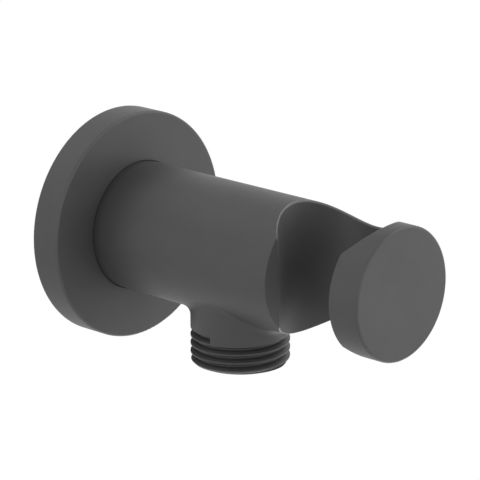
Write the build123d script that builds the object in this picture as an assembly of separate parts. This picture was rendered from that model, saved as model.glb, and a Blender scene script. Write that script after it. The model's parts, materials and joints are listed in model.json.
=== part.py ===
from build123d import *
import os
from math import radians, tan

# Wall outlet elbow with a cradle for a hand shower, in millimetres.
# Water comes out of the wall through a screwed nipple, turns down inside the
# barrel and leaves through the threaded spigot, where the shower hose screws on.
# The end of the barrel is cut open to one side and holds the hand shower's cone.
# Frame: the origin is the middle of the wall flange, on the wall's plane.
# +Z is up, the barrel runs along -Y away from the wall, the cradle opens to -X.

# Driving dimensions of the outside
projection = 80.0
barrel_diameter = 27.9
flange_diameter = 49.5
flange_depth = 6.9
outlet_distance = 36.3
outlet_drop = 23.9
edge_radius = 0.5

# Pipe thread of both ends: G 1/2, parallel, with 55 degrees between its flanks
thread_diameter = 20.955
thread_pitch = 1.814
thread_depth = 1.162
flank_angle = 27.5
thread_flat = thread_pitch / 6
outlet_thread_length = 7.1
wall_thread_length = 10.0
thread_chamfer = 0.8
groove_overcut = 0.3
groove_run_in = 1.5 * thread_pitch
outlet_groove_end = 186.0
wall_groove_end = 0.0

# Cradle: a slot to the side that runs into a tapered hole for the cone
disc_thickness = 7.3
slot_width = 16.8
cradle_offset = -1.45
cradle_radius = 11.9
cradle_taper = 0.03
cradle_edge_radius = 0.2

# Water way, and the socket in the barrel's back end
water_bore = 14.0
drill_point_angle = 59.0
neck_fillet = 2.5
lead_in = 0.6
barrel_setback = 1.0
socket_radius = 10.05
socket_step = 2.2

# Wall flange: a turned cup with a hub that slides along the barrel
flange_face = 2.4
flange_rim = 2.3
hub_wall = 3.0
hub_setback = 1.2
barrel_clearance = 0.15
grip_ring_section = 1.75
grip_groove_width = 2.4
grip_ring_depth = 3.4
foam_width = 2.6

# Nipple: screwed into the wall, turned with a hexagon key through its bore
nipple_clearance = 0.1
nipple_end_gap = 1.5
nipple_key = 12.0
nipple_key_depth = 9.0
nipple_bore = 12.0
seal_section = 1.4
seal_groove_width = 1.9
seal_setbacks = {"nipple_seal_front": 3.1, "nipple_seal_rear": 6.9}
lock_groove_depth = 1.05
lock_groove_play = 0.6

# Grub screw that locks the barrel on the nipple, from below
screw_diameter = 5.0
screw_place = 13.0
screw_recess = 0.4
screw_clearance = 0.02
screw_key = 2.5
screw_key_depth = 2.4
screw_point = 0.8

# Worked out from the values above
barrel_radius = barrel_diameter / 2
flange_radius = flange_diameter / 2
thread_radius = thread_diameter / 2
bore_radius = water_bore / 2
slot_end = projection - disc_thickness
slot_start = slot_end - slot_width
cradle_distance = (slot_start + slot_end) / 2
socket_end = outlet_distance - bore_radius - socket_step
nipple_radius = socket_radius - nipple_clearance
nipple_end = socket_end - nipple_end_gap
seal_groove_radius = socket_radius - seal_section
seal_places = {name: nipple_end - setback for name, setback in seal_setbacks.items()}
lock_groove_radius = nipple_radius - lock_groove_depth
lock_groove_width = screw_diameter + lock_groove_play
hub_bore = barrel_radius + barrel_clearance
hub_radius = hub_bore + hub_wall
grip_groove_radius = barrel_radius + grip_ring_section
grip_ring_place = flange_depth - grip_ring_depth
rim_inner_radius = flange_radius - flange_rim
cavity_depth = flange_depth - flange_face


def turned(*stations):
    """Solid turned about the barrel's axis, from (distance from wall, radius) corners."""
    corners = [(radius, -distance) for distance, radius in stations]
    profile = make_face(Polyline(*corners, close=True))
    return revolve(profile, Axis.Y)


def rod(radius, start, end):
    """Round rod along the barrel's axis, between two distances from the wall."""
    return turned((start, 0), (start, radius), (end, radius), (end, 0))


def ring(inner, outer, start, end):
    """Square-cornered ring about the barrel's axis."""
    return turned((start, inner), (start, outer), (end, outer), (end, inner))


def round_seal(inner, outer, place):
    """Rubber ring of round section that fills the gap between two radii."""
    section = (outer - inner) / 2
    torus = Torus(inner + section, section)
    return Pos(0, -place, 0) * Rot(90, 0, 0) * torus


def thread_groove(length, end_angle):
    """Helical groove of a thread about Z whose end face is at Z = 0.

    It runs in from below the end face and stops bluntly at the stated length
    and angle. Its section is a V with a flat root, cut a little past the crests,
    and a flat of the same width is left between one turn and the next.
    """
    root = thread_radius - thread_depth
    outside = thread_radius + groove_overcut
    slope = tan(radians(flank_angle))
    mouth_half = (thread_pitch - thread_flat) / 2
    root_half = mouth_half - thread_depth * slope
    outside_half = mouth_half + groove_overcut * slope
    height = length + groove_run_in
    helix = Helix(thread_pitch, height, thread_radius)
    section = make_face(
        Plane.XZ
        * Polyline(
            (root, -root_half),
            (root, root_half),
            (outside, outside_half),
            (outside, -outside_half),
            close=True,
        )
    )
    groove = sweep(section, path=helix, is_frenet=True)
    turn = end_angle - 360 * height / thread_pitch
    return Pos(0, 0, -groove_run_in) * Rot(0, 0, turn) * groove


def cradle_space():
    """What is cut out of the barrel's end: a side slot and a tapered hole."""
    slot = Pos(cradle_offset - barrel_radius, -cradle_distance, 0) * Box(
        barrel_diameter, slot_width, 2 * barrel_diameter
    )
    half_height = barrel_diameter
    hole = Pos(cradle_offset, -cradle_distance, 0) * Cone(
        cradle_radius - cradle_taper * half_height,
        cradle_radius + cradle_taper * half_height,
        2 * half_height,
    )
    return slot + hole


def outside_form():
    """Barrel and outlet neck as one casting, before anything is cut."""
    barrel = rod(barrel_radius, barrel_setback, projection)
    front = barrel.edges().filter_by(GeomType.CIRCLE).sort_by(Axis.Y)[0]
    barrel = fillet(front, edge_radius)
    neck = Pos(0, -outlet_distance, -outlet_drop / 2) * Cylinder(thread_radius, outlet_drop)
    casting = barrel + neck
    root = [
        edge
        for edge in casting.edges()
        if edge.geom_type not in (GeomType.CIRCLE, GeomType.LINE)
    ]
    casting = fillet(root, neck_fillet)
    end = casting.edges().filter_by(GeomType.CIRCLE).sort_by(Axis.Z)[0]
    return chamfer(end, thread_chamfer)


def elbow_body():
    """Casting with its cradle, water way, socket and thread."""
    body = outside_form() - cradle_space()
    low = -slot_end - cradle_edge_radius
    high = -slot_start + cradle_edge_radius
    rims = body.edges().filter_by_position(Axis.Y, low, high)
    body = fillet(rims, cradle_edge_radius)
    turn = outlet_distance + bore_radius
    drill_tip = turn + bore_radius / tan(radians(drill_point_angle))
    inlet = turned(
        (barrel_setback, 0),
        (barrel_setback, socket_radius + lead_in),
        (barrel_setback + lead_in, socket_radius),
        (socket_end, socket_radius),
        (socket_end, bore_radius),
        (turn, bore_radius),
        (drill_tip, 0),
    )
    outlet = Pos(0, -outlet_distance, -outlet_drop / 2) * Cylinder(bore_radius, outlet_drop)
    screw_hole = Pos(0, -screw_place, -barrel_radius / 2) * Cylinder(
        screw_diameter / 2, barrel_radius
    )
    thread = thread_groove(outlet_thread_length, outlet_groove_end)
    thread = Pos(0, -outlet_distance, -outlet_drop) * thread
    return body - inlet - outlet - screw_hole - thread


def wall_flange():
    """Turned cup: face, rim and a hub with a groove for the grip ring."""
    cup = turned(
        (0, rim_inner_radius),
        (0, flange_radius),
        (flange_depth, flange_radius),
        (flange_depth, hub_bore),
        (hub_setback, hub_bore),
        (hub_setback, hub_radius),
        (cavity_depth, hub_radius),
        (cavity_depth, rim_inner_radius),
    )
    front = cup.edges().filter_by(GeomType.CIRCLE).group_by(Axis.Y)[0]
    cup = fillet(front.sort_by(SortBy.RADIUS)[-1], edge_radius)
    start = grip_ring_place - grip_groove_width / 2
    return cup - ring(barrel_radius, grip_groove_radius, start, start + grip_groove_width)


def wall_nipple():
    """Screwed tube, keyed at its front end, with two seal grooves and a locking groove."""
    tube = rod(thread_radius, -wall_thread_length, 0) + rod(nipple_radius, 0, nipple_end)
    ends = tube.edges().filter_by(GeomType.CIRCLE).sort_by(Axis.Y)
    tube = chamfer([ends[0], ends[-1]], lead_in)
    for place in seal_places.values():
        start = place - seal_groove_width / 2
        tube -= ring(seal_groove_radius, socket_radius, start, start + seal_groove_width)
    start = screw_place - lock_groove_width / 2
    tube -= ring(lock_groove_radius, socket_radius, start, start + lock_groove_width)
    key = Plane.XZ * RegularPolygon(nipple_key / 2, 6, major_radius=False)
    tube -= Pos(0, nipple_key_depth - nipple_end, 0) * extrude(key, nipple_key_depth)
    tube -= rod(nipple_bore / 2, -wall_thread_length, nipple_end)
    thread = thread_groove(wall_thread_length - thread_pitch, wall_groove_end)
    return tube - Pos(0, wall_thread_length, 0) * Rot(90, 0, 0) * thread


def grub_screw():
    """Headless screw with a hexagon socket, its flat point up in the locking groove."""
    low = -barrel_radius + screw_recess
    length = -lock_groove_radius - low
    screw = Cylinder(screw_diameter / 2 - screw_clearance, length)
    screw = chamfer(screw.edges().group_by(Axis.Z)[-1], screw_point)
    key = extrude(RegularPolygon(screw_key / 2, 6, major_radius=False), screw_key_depth)
    screw -= Pos(0, 0, -length / 2) * key
    return Pos(0, -screw_place, low + length / 2) * screw


parts = {
    "elbow_body": elbow_body(),
    "wall_flange": wall_flange(),
    "flange_grip_ring": round_seal(barrel_radius, grip_groove_radius, grip_ring_place),
    "foam_seal": ring(rim_inner_radius - foam_width, rim_inner_radius, 0, cavity_depth),
    "wall_nipple": wall_nipple(),
    "grub_screw": grub_screw(),
}
for name, place in seal_places.items():
    parts[name] = round_seal(seal_groove_radius, socket_radius, place)

os.makedirs("parts", exist_ok=True)
for name, part in parts.items():
    export_step(part, f"parts/{name}.step")
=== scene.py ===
import json
import math

import bpy
import numpy as np
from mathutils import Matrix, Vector


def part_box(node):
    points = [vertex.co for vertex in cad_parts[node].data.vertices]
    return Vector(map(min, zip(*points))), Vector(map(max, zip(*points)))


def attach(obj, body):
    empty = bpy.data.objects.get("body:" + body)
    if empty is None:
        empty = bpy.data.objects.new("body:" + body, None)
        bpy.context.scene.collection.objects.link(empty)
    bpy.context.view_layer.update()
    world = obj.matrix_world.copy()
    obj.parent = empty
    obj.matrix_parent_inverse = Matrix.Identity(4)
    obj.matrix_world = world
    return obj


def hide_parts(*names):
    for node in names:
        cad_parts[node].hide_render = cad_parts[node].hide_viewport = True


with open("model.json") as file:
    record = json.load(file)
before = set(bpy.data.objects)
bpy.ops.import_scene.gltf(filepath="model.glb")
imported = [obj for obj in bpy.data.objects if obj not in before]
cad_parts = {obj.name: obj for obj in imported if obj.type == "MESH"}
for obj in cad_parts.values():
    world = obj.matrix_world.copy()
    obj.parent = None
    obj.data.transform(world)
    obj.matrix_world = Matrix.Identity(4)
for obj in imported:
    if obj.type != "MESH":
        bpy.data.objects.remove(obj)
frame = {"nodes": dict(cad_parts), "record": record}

# Looks of a wall outlet elbow: a flange, a barrel with a cradle at its end, a threaded
# spigot that points down, and the nipple, screw and seals that hold it on the wall.
# Lengths are metres, +Z is up, the barrel runs along -Y and the cradle opens to -X.

bl_info = {
    "name": "Wall Outlet Elbow",
    "version": (1, 0, 0),
    "blender": (4, 5, 0),
    "location": "3D View > Sidebar > Outlet Elbow",
    "description": "Finishes, foam seal, lamps and camera of a wall outlet elbow",
    "category": "Object",
}

MM = 0.001
BODY = "root"

# Where the elbow's bores, its outlet thread and its rounded front edges are, for the coat, its
# painted shade and its painted highlights
OUTLET_BORE = 7.15 * MM
OUTLET_TOP = 8 * MM
BARREL_BORE = 10.2 * MM
BORES_END = -50 * MM
THREAD_ROOT = 9.3 * MM
THREAD_CREST = 10.4 * MM
THREAD_LENGTH = 8 * MM
ROUNDING = 0.5 * MM
ROUNDING_MIDDLE = 0.2 * MM

# The cradle's hole: growth of its radius with height, width of the painted highlight on
# its rim, and the height from which that painted highlight is at full strength
CRADLE_TAPER = 0.03
RIM = 0.3 * MM
UPPER_RIM = 9 * MM

# Width of the step from one finish to the next, and of its ragged waves
EDGE = 0.15 * MM
RAGGED = 0.8 * MM

# Widths of the patches and marks in the finishes, and heights of their relief
CLOUD = 14 * MM
TARNISH = 5 * MM
BLOOM = 3 * MM
RUBBER_SKIN = 0.12 * MM
STEEL_PATCH = 0.5 * MM
STEEL_MARK = 0.08 * MM
TOOL_MARK_HEIGHT = 0.006 * MM
RUBBER_SKIN_HEIGHT = 0.01 * MM
CELL_HEIGHT = 0.12 * MM
STEEL_MARK_HEIGHT = 0.004 * MM

# Lowest and highest roughness of each finish, and how far the coat's wanders
COAT_WANDER = 0.04
BRASS_ROUGHNESS = (0.26, 0.42)
RUBBER_ROUGHNESS = (0.5, 0.66)
STEEL_ROUGHNESS = (0.28, 0.45)

# How much darker or paler the patches of a finish are than its colour
BORE_SHADE = 0.7
TARNISH_SHADE = 0.72
BLOOM_SHADE = 1.8
CELL_SHADES = (0.55, 1.25)

STEEL_COLOURS = ((0.38, 0.38, 0.39), (0.52, 0.52, 0.53))
WHITE = (1, 1, 1, 1)
BLACK = (0, 0, 0, 1)

# Smooth noise lies between these two values nearly everywhere
NOISE_RANGE = (0.3, 0.7)

# Values of the noise or of the distance in a cell between which a patch sets in
TARNISH_RANGE = (0.35, 0.75)
BLOOM_RANGE = (0.4, 0.8)
CELL_RANGE = (0.15, 0.6)

# Spacing of the bands of a wave texture whose scale is 1
WAVE_SPACING = math.tau / 20

# The foam ring: squareness of its section, and steps about the axis and about the section
FOAM_SQUARENESS = 7
FOAM_TURNS = 360
FOAM_AROUND = 72

# The floor: half its width, its paint, and the share and strength of the glow it shows
FLOOR_HALF = 8.0
FLOOR_PAINT = (0.9, 0.9, 0.9, 1)
FLOOR_GLOW_SHARE = 0.94
FLOOR_GLOW = 1.06

SENSOR = 36

# Each lamp's turn and height in degrees, distance and width in metres, and power in watts
LAMPS = {
    "right_lamp": (60, 5, 1.2, 0.9, 2.68),
    "high_right_lamp": (60, 40, 1.2, 0.9, 4.48),
    "low_right_lamp": (90, -50, 0.6, 0.45, 1.31),
    "front_lamp": (0, 5, 1.2, 0.9, 2.79),
    "side_lamp": (-75, 20, 0.6, 0.45, 0.73),
    "left_lamp": (-120, 5, 1.2, 0.9, 1.47),
    "back_lamp": (-160, 40, 1.2, 0.9, 1.73),
}


class CoatSettings(bpy.types.PropertyGroup):
    """Matte dark coat of the casting and the flange."""

    colour: bpy.props.FloatVectorProperty(
        name="Colour", description="Colour of the coat", subtype="COLOR",
        size=3, min=0, max=1, default=(0.081, 0.081, 0.082),
    )
    clouding: bpy.props.FloatProperty(
        name="Clouding", description="How far the coat's tone wanders, as a share of it",
        subtype="FACTOR", min=0, max=1, default=0.07,
    )
    grain: bpy.props.FloatProperty(
        name="Grain", description="Width of the blasted grain under the coat",
        subtype="DISTANCE", unit="LENGTH", default=0.35 * MM,
    )
    grain_height: bpy.props.FloatProperty(
        name="Grain height", description="Height of that grain",
        subtype="DISTANCE", unit="LENGTH", default=0.004 * MM,
    )
    roughness: bpy.props.FloatProperty(
        name="Roughness", description="Roughness of the coat", subtype="FACTOR",
        min=0, max=1, default=0.5,
    )
    specular: bpy.props.FloatProperty(
        name="Specular", description="Strength of the coat's own reflection",
        subtype="FACTOR", min=0, max=1, default=0.45,
    )
    mouth: bpy.props.FloatProperty(
        name="Coated mouth", description="How far the coat reaches into the outlet's bore",
        subtype="DISTANCE", unit="LENGTH", default=1.6 * MM,
    )
    # Painted shade in the outlet thread's grooves
    painted_groove_shade: bpy.props.FloatProperty(
        name="Groove shade", description="How much darker the coat is in the thread's grooves",
        subtype="FACTOR", min=0, max=1, default=0.45,
    )
    # Painted shade on the barrel where it enters the flange, and the width of that band
    painted_seam_shade: bpy.props.FloatProperty(
        name="Painted seam shade",
        description="How much darker the barrel is where it enters the flange",
        subtype="FACTOR", min=0, max=1, default=0.3,
    )
    painted_seam_shade_width: bpy.props.FloatProperty(
        name="Painted seam shade width",
        description="Width of the dull band where the barrel enters the flange",
        subtype="DISTANCE", unit="LENGTH", default=2.6 * MM,
    )
    # Painted highlight on the rounded front edges of the flange and the barrel
    edge_highlight: bpy.props.FloatProperty(
        name="Edge highlight", description="How much paler the coat is on the rounded front edges",
        subtype="FACTOR", min=0, max=1, default=0.25,
    )
    # Painted highlight on the upper rim of the cradle's hole
    rim_highlight: bpy.props.FloatProperty(
        name="Rim highlight", description="How much paler the coat is on the hole's upper rim",
        min=0, default=2.2,
    )


class BrassSettings(bpy.types.PropertyGroup):
    """Bare turned brass of the nipple and of the water way."""

    colour: bpy.props.FloatVectorProperty(
        name="Colour", description="Colour of the bare brass", subtype="COLOR",
        size=3, min=0, max=1, default=(0.72, 0.55, 0.26),
    )
    tool_pitch: bpy.props.FloatProperty(
        name="Tool marks", description="Spacing of the lathe's marks",
        subtype="DISTANCE", unit="LENGTH", default=1.3823 * MM,
    )


class SealSettings(bpy.types.PropertyGroup):
    """Black rubber rings and the foam ring behind the flange."""

    rubber: bpy.props.FloatVectorProperty(
        name="Rubber", description="Colour of the rubber rings", subtype="COLOR",
        size=3, min=0, max=1, default=(0.02, 0.02, 0.021),
    )
    foam: bpy.props.FloatVectorProperty(
        name="Foam", description="Colour of the foam ring", subtype="COLOR",
        size=3, min=0, max=1, default=(0.05, 0.05, 0.05),
    )
    foam_width: bpy.props.FloatProperty(
        name="Foam width", description="Width of the foam ring, measured along its radius",
        subtype="DISTANCE", unit="LENGTH", default=2.6 * MM,
    )
    cell: bpy.props.FloatProperty(
        name="Cell", description="Width of a cell of the foam",
        subtype="DISTANCE", unit="LENGTH", default=0.55 * MM,
    )


class StageSettings(bpy.types.PropertyGroup):
    """Floor, lamps and camera."""

    view_turn: bpy.props.FloatProperty(
        name="View turn", description="Turn of the camera about the upright axis from -Y",
        subtype="ANGLE", unit="ROTATION", default=math.radians(-47.21),
    )
    view_height: bpy.props.FloatProperty(
        name="View height", description="Angle of the camera above the horizon",
        subtype="ANGLE", unit="ROTATION", default=math.radians(16.64),
    )
    view_distance: bpy.props.FloatProperty(
        name="View distance", description="Distance from the camera to its target",
        subtype="DISTANCE", unit="LENGTH", default=567.15 * MM,
    )
    lens: bpy.props.FloatProperty(
        name="Lens", description="Focal length of the camera, on a sensor 36 mm wide",
        subtype="DISTANCE_CAMERA", unit="CAMERA", default=205.29,
    )
    target: bpy.props.FloatVectorProperty(
        name="Target", description="Point that the camera looks at",
        subtype="TRANSLATION", unit="LENGTH", size=3, precision=4,
        default=(-1.245 * MM, -37.358 * MM, 2.947 * MM),
    )
    ambient: bpy.props.FloatProperty(
        name="Ambient", description="Strength of the soft light from all around",
        min=0, default=0.125,
    )
    floor_drop: bpy.props.FloatProperty(
        name="Floor", description="Height of the flange's lowest point above the floor",
        subtype="DISTANCE", unit="LENGTH", default=0.8,
    )


def settings():
    """All settings of the scene, as one group."""
    return bpy.context.scene.outlet_elbow


def shader_tree(name):
    """A new material, its shader node, and its Object coordinates."""
    material = bpy.data.materials.new(name)
    material.use_nodes = True
    nodes = material.node_tree.nodes
    shader = nodes["Principled BSDF"]
    place = nodes.new("ShaderNodeTexCoord").outputs["Object"]
    return material, shader, place


def node(owner, kind, inputs=(), **options):
    """A node of one kind in a material or world.

    Inputs are (socket, value) pairs, and a value may be another node's output.
    """
    made = owner.node_tree.nodes.new("ShaderNode" + kind)
    for key, value in options.items():
        setattr(made, key, value)
    for socket, value in inputs:
        if isinstance(value, bpy.types.NodeSocket):
            owner.node_tree.links.new(value, made.inputs[socket])
        else:
            made.inputs[socket].default_value = value
    return made


def join(material, output, target):
    """Links an output to an input."""
    material.node_tree.links.new(output, target)


def calc(owner, operation, *values):
    """Output of a Math node, from numbers or other outputs."""
    return node(owner, "Math", list(enumerate(values)), operation=operation).outputs[0]


def product(material, *values):
    """Product of two or more outputs."""
    total = values[0]
    for value in values[1:]:
        total = calc(material, "MULTIPLY", total, value)
    return total


def noise(material, place, width, detail=3.0, roughness=0.55):
    """Smooth noise from 0 to 1 whose lumps are about as wide as stated."""
    found = node(
        material, "TexNoise",
        [("Vector", place), ("Scale", 1 / width), ("Detail", detail), ("Roughness", roughness)],
    )
    return found.outputs["Fac"]


def span(material, value, low, high, to_low, to_high):
    """Value mapped from one range to another, smoothly and held at its ends."""
    mapped = node(
        material, "MapRange",
        [("Value", value), ("From Min", low), ("From Max", high),
         ("To Min", to_low), ("To Max", to_high)],
        interpolation_type="SMOOTHSTEP",
    )
    return mapped.outputs["Result"]


def spread(material, found, low=0, high=1):
    """Smooth noise stretched to fill a range."""
    return span(material, found, *NOISE_RANGE, low, high)


def mixed(material, share, first, second):
    """Colour between two colours or outputs, by a share from 0 to 1."""
    pairs = [("Factor", share), ("A", first), ("B", second)]
    return node(material, "Mix", pairs, data_type="RGBA").outputs["Result"]


def two_tone(material, share, first, second):
    """Colour between two plain colours, by a share from 0 to 1."""
    return mixed(material, share, (*first, 1), (*second, 1))


def length(material, first, second):
    """Length of a flat vector from its two parts."""
    square = calc(material, "MULTIPLY", first, first)
    squares = calc(material, "MULTIPLY_ADD", second, second, square)
    return calc(material, "SQRT", squares)


def relief(material, height, depth):
    """Normal of a surface whose height goes from 0 to 1 over a depth in metres."""
    return node(
        material, "Bump", [("Strength", 1.0), ("Distance", depth), ("Height", height)]
    ).outputs["Normal"]


def shade(colour, factor):
    """Colour made darker or lighter by a factor."""
    return tuple(min(1.0, part * factor) for part in colour)


def mount(name):
    """A mount of the record, by its name."""
    for held in frame["record"]["mounts"]:
        if held["name"] == name:
            return held
    raise RuntimeError(f"the record has no mount {name}")


class Spot:
    """Where a point of the casting is: X, Y, Z and its distances from three axes."""

    def __init__(self, material, place):
        parts = node(material, "SeparateXYZ", [("Vector", place)]).outputs
        self.x, self.y, self.z = parts["X"], parts["Y"], parts["Z"]
        self.outlet = mount("hose_outlet")["pos_m"]
        self.from_barrel = length(material, self.x, self.z)
        self.from_outlet = self.upright(material, self.outlet)
        self.from_cradle = self.upright(material, mount("handset_cradle")["pos_m"])

    def upright(self, material, middle):
        """Distance from an upright axis through a point."""
        across = calc(material, "SUBTRACT", self.x, middle[0])
        along = calc(material, "SUBTRACT", self.y, middle[1])
        return length(material, across, along)


def coated_share(material, place, spot):
    """Share of coat: 1 outside, 0 in the bores, with a ragged edge inside the outlet.

    A point is in a bore where its distance from the outlet's or the barrel's axis is less
    than the bore's radius. The outlet's bore is coated for a short depth at its mouth.
    """
    in_wall = span(material, spot.from_outlet, OUTLET_BORE, OUTLET_BORE + EDGE, 0, 1)
    waves = calc(material, "MULTIPLY", noise(material, place, RAGGED), RAGGED)
    top = spot.outlet[2] + settings().coat.mouth
    height = calc(material, "ADD", spot.z, waves)
    in_mouth = span(material, height, top, top + 2 * EDGE, 1, 0)
    above = span(material, spot.z, OUTLET_TOP, OUTLET_TOP + EDGE, 0, 1)
    around_bore = calc(material, "MAXIMUM", in_mouth, above)
    around_outlet = calc(material, "MAXIMUM", in_wall, around_bore)
    in_casting = span(material, spot.from_barrel, BARREL_BORE, BARREL_BORE + EDGE, 0, 1)
    in_cradle = span(material, spot.y, BORES_END, BORES_END + EDGE, 1, 0)
    around_barrel = calc(material, "MAXIMUM", in_casting, in_cradle)
    return product(material, around_outlet, around_barrel)


# Mask of the painted shade in the outlet thread's grooves
def painted_groove_shade_share(material, spot):
    """Depth in the outlet thread's grooves: 0 at the crests and elsewhere, 1 at the roots."""
    depth = span(material, spot.from_outlet, THREAD_ROOT, THREAD_CREST, 1, 0)
    outside = calc(material, "GREATER_THAN", spot.from_outlet, THREAD_ROOT - EDGE)
    low = calc(material, "LESS_THAN", spot.z, spot.outlet[2] + THREAD_LENGTH)
    return product(material, depth, outside, low)


# Mask of the painted shade on the barrel where it enters the flange
def painted_seam_shade_share(material, spot):
    """1 on the barrel where it enters the flange, falling to 0 along the barrel."""
    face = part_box("wall_flange")[0].y
    near = span(material, spot.y, face - settings().coat.painted_seam_shade_width, face, 0, 1)
    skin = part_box("elbow_body")[1].x
    on_barrel = calc(material, "LESS_THAN", spot.from_barrel, skin + EDGE / 2)
    return product(material, near, on_barrel)


# Mask of the painted highlight on the rounded front edges
def painted_edge_highlight_share(material, spot):
    """1 on the rounded front edges of the flange and the barrel, 0 elsewhere.

    A point is on such an edge where it is within the rounding of both the face and the side.
    """
    shares = []
    for name in ("wall_flange", "elbow_body"):
        low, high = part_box(name)
        face, side = low.y, high.x
        near_face = span(material, spot.y, face + ROUNDING_MIDDLE, face + ROUNDING, 1, 0)
        near_side = span(
            material, spot.from_barrel, side - ROUNDING, side - ROUNDING_MIDDLE, 0, 1
        )
        shares.append(product(material, near_face, near_side))
    return calc(material, "MAXIMUM", *shares)


# Mask of the painted highlight on the cradle hole's upper rim
def painted_rim_highlight_share(material, spot):
    """1 on the barrel's skin along the upper rim of the cradle's hole, 0 elsewhere.

    The hole is a cone about the cradle's upright axis, whose radius grows with Z by the
    taper. This mask lays a painted highlight on that rim.
    """
    radius = mount("handset_cradle")["dims"]["r_mm"] * MM
    hole = calc(material, "MULTIPLY_ADD", spot.z, CRADLE_TAPER, radius)
    beside = calc(material, "SUBTRACT", spot.from_cradle, hole)
    near = span(material, calc(material, "ABSOLUTE", beside), 0, RIM, 1, 0)
    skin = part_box("elbow_body")[1].x
    on_skin = span(material, spot.from_barrel, skin - 2 * RIM, skin - RIM, 0, 1)
    upper = span(material, spot.z, 0, UPPER_RIM, 0, 1)
    return product(material, upper, near, on_skin)


def coat_material():
    """Matte coat over blasted metal, clouded a little, with bare brass inside the bores.

    Painted shade darkens the coat in the grooves of the outlet's thread and where the barrel
    enters the flange, and painted highlights make it paler on the rounded front edges and
    on the upper rim of the cradle's hole.
    """
    coat, brass = settings().coat, settings().brass.colour
    material, shader, place = shader_tree("matte_gunmetal_coat")
    spot = Spot(material, place)
    clouds = spread(material, noise(material, place, CLOUD, detail=4))
    grain = noise(material, place, coat.grain)
    tone = two_tone(
        material, clouds, shade(coat.colour, 1 - coat.clouding),
        shade(coat.colour, 1 + coat.clouding),
    )
    # Painted highlight on the rounded front edges
    painted_edge_highlight = (*shade(coat.colour, 1 + coat.edge_highlight), 1)
    tone = mixed(material, painted_edge_highlight_share(material, spot), tone, painted_edge_highlight)
    # Painted highlight on the upper rim of the cradle's hole
    painted_rim_highlight = (*shade(coat.colour, 1 + coat.rim_highlight), 1)
    tone = mixed(material, painted_rim_highlight_share(material, spot), tone, painted_rim_highlight)
    # Painted shade in the thread's grooves
    grooves = span(material, painted_groove_shade_share(material, spot), 0, 1, 1, 1 - coat.painted_groove_shade)
    # Painted shade where the barrel enters the flange
    painted_seam_factor = span(material, painted_seam_shade_share(material, spot), 0, 1, 1, 1 - coat.painted_seam_shade)
    tone = mixed(material, product(material, grooves, painted_seam_factor), BLACK, tone)
    bare = two_tone(material, clouds, brass, shade(brass, BORE_SHADE))
    coated = coated_share(material, place, spot)
    join(material, mixed(material, coated, bare, tone), shader.inputs["Base Color"])
    join(material, calc(material, "SUBTRACT", 1, coated), shader.inputs["Metallic"])
    low, high = coat.roughness - COAT_WANDER, coat.roughness + COAT_WANDER
    join(material, spread(material, grain, low, high), shader.inputs["Roughness"])
    join(material, relief(material, grain, coat.grain_height), shader.inputs["Normal"])
    shader.inputs["Specular IOR Level"].default_value = coat.specular
    return material


def brass_material():
    """Bare brass with the rings that the lathe leaves, and a tarnish in soft patches."""
    brass = settings().brass
    material, shader, place = shader_tree("bare_turned_brass")
    marks = node(
        material, "TexWave",
        [("Vector", place), ("Scale", WAVE_SPACING / brass.tool_pitch), ("Distortion", 0.6),
         ("Detail", 2.0), ("Detail Scale", 1.5)],
        bands_direction="Y",
    ).outputs["Fac"]
    tarnish = noise(material, place, TARNISH, detail=5)
    tone = two_tone(
        material, span(material, tarnish, *TARNISH_RANGE, 0, 1),
        brass.colour, shade(brass.colour, TARNISH_SHADE),
    )
    join(material, tone, shader.inputs["Base Color"])
    join(material, spread(material, tarnish, *BRASS_ROUGHNESS), shader.inputs["Roughness"])
    join(material, relief(material, marks, TOOL_MARK_HEIGHT), shader.inputs["Normal"])
    shader.inputs["Metallic"].default_value = 1.0
    return material


def rubber_material():
    """Black rubber with a fine moulded skin and a faint pale bloom."""
    rubber = settings().seals.rubber
    material, shader, place = shader_tree("black_rubber")
    bloom = noise(material, place, BLOOM, detail=4)
    skin = noise(material, place, RUBBER_SKIN)
    patches = span(material, bloom, *BLOOM_RANGE, 0, 1)
    tone = two_tone(material, patches, rubber, shade(rubber, BLOOM_SHADE))
    join(material, tone, shader.inputs["Base Color"])
    join(material, spread(material, bloom, *RUBBER_ROUGHNESS), shader.inputs["Roughness"])
    join(material, relief(material, skin, RUBBER_SKIN_HEIGHT), shader.inputs["Normal"])
    return material


def foam_material():
    """Closed-cell foam: round cells, darker and deeper at their middles."""
    seals = settings().seals
    material, shader, place = shader_tree("black_cell_foam")
    cells = node(
        material, "TexVoronoi", [("Vector", place), ("Scale", 1 / seals.cell)],
        feature="F1",
    ).outputs["Distance"]
    wall = span(material, cells, *CELL_RANGE, 0, 1)
    dark, pale = [shade(seals.foam, factor) for factor in CELL_SHADES]
    join(material, two_tone(material, wall, dark, pale), shader.inputs["Base Color"])
    join(material, relief(material, wall, CELL_HEIGHT), shader.inputs["Normal"])
    shader.inputs["Roughness"].default_value = 0.95
    shader.inputs["Specular IOR Level"].default_value = 0.25
    return material


def steel_material():
    """Stainless screw with fine turned marks and a dull skin."""
    material, shader, place = shader_tree("stainless_screw_steel")
    skin = noise(material, place, STEEL_PATCH, detail=5)
    marks = noise(material, place, STEEL_MARK)
    tone = two_tone(material, spread(material, skin), *STEEL_COLOURS)
    join(material, tone, shader.inputs["Base Color"])
    join(material, spread(material, skin, *STEEL_ROUGHNESS), shader.inputs["Roughness"])
    join(material, relief(material, marks, STEEL_MARK_HEIGHT), shader.inputs["Normal"])
    shader.inputs["Metallic"].default_value = 1.0
    return material


def dress(names, material):
    """Gives each named node of the frame one material in all its slots."""
    for name in names:
        slots = frame["nodes"][name].material_slots
        if not slots:
            raise RuntimeError(f"{name} has no material slot")
        for held in slots:
            held.material = material


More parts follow.
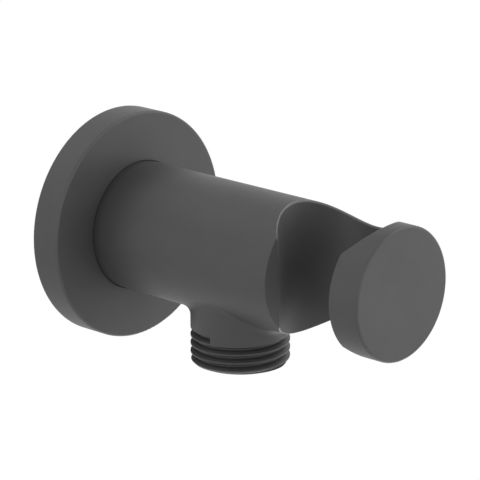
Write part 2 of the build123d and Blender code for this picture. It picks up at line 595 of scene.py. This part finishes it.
def ring_surface(name, inner, outer, start, end, squareness, turns, around):
    """Ring about the Y axis, closed both ways.

    A point is at angle t about the axis. Its section is a superellipse: the radius is
    the middle plus half the width times the signed power 2/n of cos s, and Y is the
    middle plus half the length times the same power of sin s, with n the squareness.
    """
    t = np.linspace(0, math.tau, turns, endpoint=False)[:, None]
    s = np.linspace(0, math.tau, around, endpoint=False)[None, :]
    across = np.sign(np.cos(s)) * np.abs(np.cos(s)) ** (2 / squareness)
    along = np.sign(np.sin(s)) * np.abs(np.sin(s)) ** (2 / squareness)
    radius = (inner + outer) / 2 + (outer - inner) / 2 * across + 0 * t
    y = (start + end) / 2 + (end - start) / 2 * along + 0 * t
    points = np.stack([radius * np.cos(t), y, radius * np.sin(t)], axis=-1)
    return grid_mesh(name, points)


def grid_mesh(name, points):
    """Smooth mesh of a grid of points that closes on itself in both directions."""
    rows, columns = points.shape[:2]
    index = np.arange(rows * columns).reshape(rows, columns)
    next_row = np.roll(index, -1, axis=0)
    corners = [index, np.roll(index, -1, axis=1), np.roll(next_row, -1, axis=1), next_row]
    faces = np.stack(corners, axis=-1).reshape(-1, 4)
    mesh = bpy.data.meshes.new(name)
    mesh.from_pydata(points.reshape(-1, 3).tolist(), [], faces.tolist())
    mesh.shade_smooth()
    made = bpy.data.objects.new(name, mesh)
    bpy.context.scene.collection.objects.link(made)
    return made


class ELBOW_OT_coat_castings(bpy.types.Operator):
    """Coat the casting and the wall flange in matte gunmetal"""

    bl_idname = "elbow.coat_castings"
    bl_label = "Coat Castings"

    def execute(self, context):
        dress(["elbow_body", "wall_flange"], coat_material())
        return {"FINISHED"}


class ELBOW_OT_finish_nipple(bpy.types.Operator):
    """Finish the screwed nipple in bare turned brass"""

    bl_idname = "elbow.finish_nipple"
    bl_label = "Finish Nipple"

    def execute(self, context):
        dress(["wall_nipple"], brass_material())
        return {"FINISHED"}


class ELBOW_OT_finish_rings(bpy.types.Operator):
    """Finish the grip ring and both nipple seals in black rubber"""

    bl_idname = "elbow.finish_rings"
    bl_label = "Finish Rubber Rings"

    def execute(self, context):
        dress(["flange_grip_ring", "nipple_seal_front", "nipple_seal_rear"], rubber_material())
        return {"FINISHED"}


class ELBOW_OT_make_foam_ring(bpy.types.Operator):
    """Make the foam ring in the hollow of the flange"""

    bl_idname = "elbow.make_foam_ring"
    bl_label = "Make Foam Ring"

    def execute(self, context):
        low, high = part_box("foam_seal")
        outer = high.x
        inner = outer - settings().seals.foam_width
        foam = ring_surface(
            "foam_ring", inner, outer, low.y, high.y, FOAM_SQUARENESS, FOAM_TURNS, FOAM_AROUND
        )
        foam.data.materials.append(foam_material())
        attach(foam, BODY)
        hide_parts("foam_seal")
        return {"FINISHED"}


class ELBOW_OT_finish_screw(bpy.types.Operator):
    """Finish the grub screw in stainless steel"""

    bl_idname = "elbow.finish_screw"
    bl_label = "Finish Grub Screw"

    def execute(self, context):
        dress(["grub_screw"], steel_material())
        return {"FINISHED"}


def direction(turn, height):
    """Unit vector towards a place that is turned from -Y and raised above the horizon."""
    return Vector((
        math.sin(turn) * math.cos(height),
        -math.cos(turn) * math.cos(height),
        math.sin(height),
    ))


def aim(thing, place, target):
    """Puts a lamp or camera at a place and points it at its target."""
    thing.location = place
    thing.rotation_euler = (Vector(target) - Vector(place)).to_track_quat("-Z", "Y").to_euler()


def add_lamp(name, turn, height, distance, width, power):
    """Square soft lamp at a turn and height in degrees that looks at the object."""
    data = bpy.data.lights.new(name, "AREA")
    data.size = width
    data.energy = power
    lamp = bpy.data.objects.new(name, data)
    lamp.visible_camera = False
    bpy.context.scene.collection.objects.link(lamp)
    target = Vector(settings().stage.target)
    place = target + distance * direction(math.radians(turn), math.radians(height))
    aim(lamp, place, target)


def seen_share(owner):
    """Output that is 1 for camera, glossy and transmission rays, and 0 for the rest."""
    path = node(owner, "LightPath").outputs
    share = path["Is Camera Ray"]
    for kind in ("Is Glossy Ray", "Is Transmission Ray"):
        share = calc(owner, "MAXIMUM", share, path[kind])
    return share


def set_world():
    """White to the camera and to mirrors, and an even soft light on everything else."""
    world = bpy.data.worlds.new("studio")
    world.use_nodes = True
    world.node_tree.nodes.clear()
    ambient = settings().stage.ambient
    seen = node(world, "Background", [("Color", WHITE)]).outputs[0]
    lit = node(world, "Background", [("Color", WHITE), ("Strength", ambient)]).outputs[0]
    both = node(world, "MixShader", [(0, seen_share(world)), (1, lit), (2, seen)]).outputs[0]
    node(world, "OutputWorld", [("Surface", both)])
    bpy.context.scene.world = world


def floor_material():
    """Pale floor that looks nearly white, so the shadow on it stays faint."""
    material = bpy.data.materials.new("pale_floor")
    material.use_nodes = True
    material.node_tree.nodes.clear()
    paint = node(material, "BsdfDiffuse", [("Color", FLOOR_PAINT)]).outputs[0]
    glow = node(material, "Emission", [("Strength", FLOOR_GLOW)]).outputs[0]
    share = calc(material, "MULTIPLY", seen_share(material), FLOOR_GLOW_SHARE)
    both = node(material, "MixShader", [(0, share), (1, paint), (2, glow)]).outputs[0]
    node(material, "OutputMaterial", [("Surface", both)])
    return material


def add_floor():
    """Wide flat floor some way below the flange."""
    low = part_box("wall_flange")[0].z - settings().stage.floor_drop
    signs = ((-1, -1), (1, -1), (1, 1), (-1, 1))
    corners = [(x * FLOOR_HALF, y * FLOOR_HALF, low) for x, y in signs]
    mesh = bpy.data.meshes.new("floor")
    mesh.from_pydata(corners, [], [(0, 1, 2, 3)])
    mesh.materials.append(floor_material())
    floor = bpy.data.objects.new("floor", mesh)
    bpy.context.scene.collection.objects.link(floor)


def add_camera():
    """Camera at the stated turn, height and distance from its target."""
    stage = settings().stage
    data = bpy.data.cameras.new("camera")
    data.sensor_width = SENSOR
    data.lens = stage.lens
    camera = bpy.data.objects.new("camera", data)
    bpy.context.scene.collection.objects.link(camera)
    target = Vector(stage.target)
    back = direction(stage.view_turn, stage.view_height)
    aim(camera, target + stage.view_distance * back, target)
    bpy.context.scene.camera = camera


class ELBOW_OT_set_stage(bpy.types.Operator):
    """Set the floor, the lamps, the soft light from all around and the camera"""

    bl_idname = "elbow.set_stage"
    bl_label = "Set Stage"

    def execute(self, context):
        add_floor()
        for name, values in LAMPS.items():
            add_lamp(name, *values)
        set_world()
        add_camera()
        context.scene.view_settings.view_transform = "Standard"
        return {"FINISHED"}


class ElbowSettings(bpy.types.PropertyGroup):
    """Sizes and colours of the outlet elbow."""

    coat: bpy.props.PointerProperty(type=CoatSettings)
    brass: bpy.props.PointerProperty(type=BrassSettings)
    seals: bpy.props.PointerProperty(type=SealSettings)
    stage: bpy.props.PointerProperty(type=StageSettings)


class ELBOW_PT_panel(bpy.types.Panel):
    """Settings and steps of the outlet elbow"""

    bl_idname = "ELBOW_PT_panel"
    bl_label = "Outlet Elbow"
    bl_space_type = "VIEW_3D"
    bl_region_type = "UI"
    bl_category = "Outlet Elbow"

    def draw(self, context):
        for group, steps in STEPS.items():
            box = self.layout.box()
            values = getattr(settings(), group)
            for name in values.__annotations__:
                box.prop(values, name)
            for step in steps:
                box.operator(step.bl_idname)


STEPS = {
    "coat": [ELBOW_OT_coat_castings],
    "brass": [ELBOW_OT_finish_nipple, ELBOW_OT_finish_screw],
    "seals": [ELBOW_OT_finish_rings, ELBOW_OT_make_foam_ring],
    "stage": [ELBOW_OT_set_stage],
}

CLASSES = [
    CoatSettings,
    BrassSettings,
    SealSettings,
    StageSettings,
    ElbowSettings,
    *[step for steps in STEPS.values() for step in steps],
    ELBOW_PT_panel,
]


def register():
    for made in CLASSES:
        bpy.utils.register_class(made)
    bpy.types.Scene.outlet_elbow = bpy.props.PointerProperty(type=ElbowSettings)


def unregister():
    del bpy.types.Scene.outlet_elbow
    for made in reversed(CLASSES):
        bpy.utils.unregister_class(made)


def main():
    """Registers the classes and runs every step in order."""
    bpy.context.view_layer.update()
    register()
    bpy.ops.elbow.coat_castings()
    bpy.ops.elbow.finish_nipple()
    bpy.ops.elbow.finish_screw()
    bpy.ops.elbow.finish_rings()
    bpy.ops.elbow.make_foam_ring()
    bpy.ops.elbow.set_stage()


if __name__ == "__main__":
    main()
